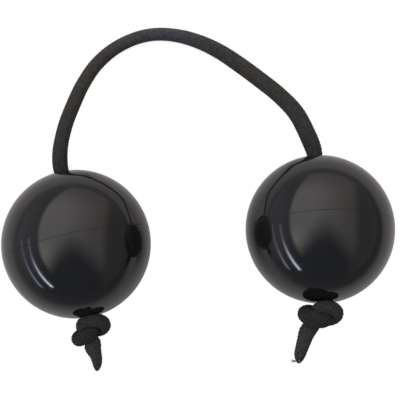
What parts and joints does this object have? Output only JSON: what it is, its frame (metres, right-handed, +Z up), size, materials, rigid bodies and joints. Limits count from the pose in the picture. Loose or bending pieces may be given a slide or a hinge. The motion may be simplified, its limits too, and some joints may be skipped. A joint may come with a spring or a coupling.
{
  "type": "kashaka",
  "caption": "Hand percussion: hollow rattle balls joined by one knotted cord, swung round the hand so that they click and rattle.",
  "frame": {"origin": "on the surface the balls rest on, midway between the two balls", "axes": "+X from the left ball to the right ball, +Y from the knots towards the crown of the cord, +Z up"},
  "size_m": [0.1582, 0.1475, 0.0598],
  "materials": {
    "ball_plastic": "gloss",
    "cord_braid": "matte",
    "bead_steel": "satin"
  },
  "bodies": {
    "crown": {"cord_crown": "cord_braid"},
    "left_upper_leg": {"left_cord_upper": "cord_braid", "left_cord_shoulder": "cord_braid"},
    "left_lower_leg": {"left_cord_lower": "cord_braid", "left_cord_knee": "cord_braid"},
    "left_stem": {"left_cord_in_ball": "cord_braid", "left_knot": "cord_braid", "left_cord_neck": "cord_braid"},
    "left_ball": {"left_cord_side_shell": "ball_plastic", "left_knot_side_shell": "ball_plastic"},
    "left_beads": {"left_bead_01": "bead_steel", "left_bead_02": "bead_steel", "left_bead_03": "bead_steel", "left_bead_04": "bead_steel", "left_bead_05": "bead_steel", "left_bead_06": "bead_steel", "left_bead_07": "bead_steel", "left_bead_08": "bead_steel", "left_bead_09": "bead_steel", "left_bead_10": "bead_steel", "left_bead_11": "bead_steel", "left_bead_12": "bead_steel", "left_bead_13": "bead_steel", "left_bead_14": "bead_steel", "left_bead_15": "bead_steel", "left_bead_16": "bead_steel", "left_bead_17": "bead_steel", "left_bead_18": "bead_steel", "left_bead_19": "bead_steel"},
    "right_upper_leg": {"right_cord_upper": "cord_braid", "right_cord_shoulder": "cord_braid"},
    "right_lower_leg": {"right_cord_lower": "cord_braid", "right_cord_knee": "cord_braid"},
    "right_stem": {"right_cord_in_ball": "cord_braid", "right_knot": "cord_braid", "right_cord_neck": "cord_braid"},
    "right_ball": {"right_cord_side_shell": "ball_plastic", "right_knot_side_shell": "ball_plastic"},
    "right_beads": {"right_bead_01": "bead_steel", "right_bead_02": "bead_steel", "right_bead_03": "bead_steel", "right_bead_04": "bead_steel", "right_bead_05": "bead_steel", "right_bead_06": "bead_steel", "right_bead_07": "bead_steel", "right_bead_08": "bead_steel", "right_bead_09": "bead_steel", "right_bead_10": "bead_steel", "right_bead_11": "bead_steel", "right_bead_12": "bead_steel", "right_bead_13": "bead_steel", "right_bead_14": "bead_steel", "right_bead_15": "bead_steel", "right_bead_16": "bead_steel", "right_bead_17": "bead_steel", "right_bead_18": "bead_steel", "right_bead_19": "bead_steel"}
  },
  "joints": [
    {"name": "left_shoulder_lift", "type": "hinge", "parent": "crown", "child": "left_upper_leg", "pos_m": [-0.03451, 0.08659, 0.00285], "axis": [-1, 0, 0], "range_deg": [-120, 120], "deforming": ["left_cord_shoulder"]},
    {"name": "left_knee_swing", "type": "hinge", "parent": "left_upper_leg", "child": "left_lower_leg", "pos_m": [-0.05226, 0.06047, 0.0141], "axis": [0, 0, 1], "range_deg": [-75, 35], "deforming": ["left_cord_knee"]},
    {"name": "left_neck_tilt", "type": "hinge", "parent": "left_lower_leg", "child": "left_stem", "pos_m": [-0.05661, 0.02909, 0.02781], "axis": [-0.9744, -0.225, 0], "range_deg": [-70, 70], "deforming": ["left_cord_neck"]},
    {"name": "left_ball_spin", "type": "hinge", "parent": "left_stem", "child": "left_ball", "pos_m": [-0.0492, -0.003, 0.02989], "axis": [-0.2245, 0.9724, -0.0628], "continuous": true},
    {"name": "left_bead_swirl", "type": "hinge", "parent": "left_ball", "child": "left_beads", "pos_m": [-0.0492, -0.003, 0.02989], "axis": [-0.2245, 0.9724, -0.0628], "continuous": true},
    {"name": "right_shoulder_lift", "type": "hinge", "parent": "crown", "child": "right_upper_leg", "pos_m": [0.00761, 0.08467, 0.00278], "axis": [-1, 0, 0], "range_deg": [-120, 120], "deforming": ["right_cord_shoulder"]},
    {"name": "right_knee_swing", "type": "hinge", "parent": "right_upper_leg", "child": "right_lower_leg", "pos_m": [0.03323, 0.06366, 0.01132], "axis": [0, 0, 1], "range_deg": [-36, 75], "deforming": ["right_cord_knee"]},
    {"name": "right_neck_tilt", "type": "hinge", "parent": "right_lower_leg", "child": "right_stem", "pos_m": [0.04807, 0.03547, 0.02416], "axis": [-0.9994, -0.0349, 0], "range_deg": [-70, 70], "deforming": ["right_cord_neck"]},
    {"name": "right_ball_spin", "type": "hinge", "parent": "right_stem", "child": "right_ball", "pos_m": [0.0492, 0.003, 0.02989], "axis": [-0.0344, 0.9842, -0.1736], "continuous": true},
    {"name": "right_bead_swirl", "type": "hinge", "parent": "right_ball", "child": "right_beads", "pos_m": [0.0492, 0.003, 0.02989], "axis": [-0.0344, 0.9842, -0.1736], "continuous": true}
  ]
}
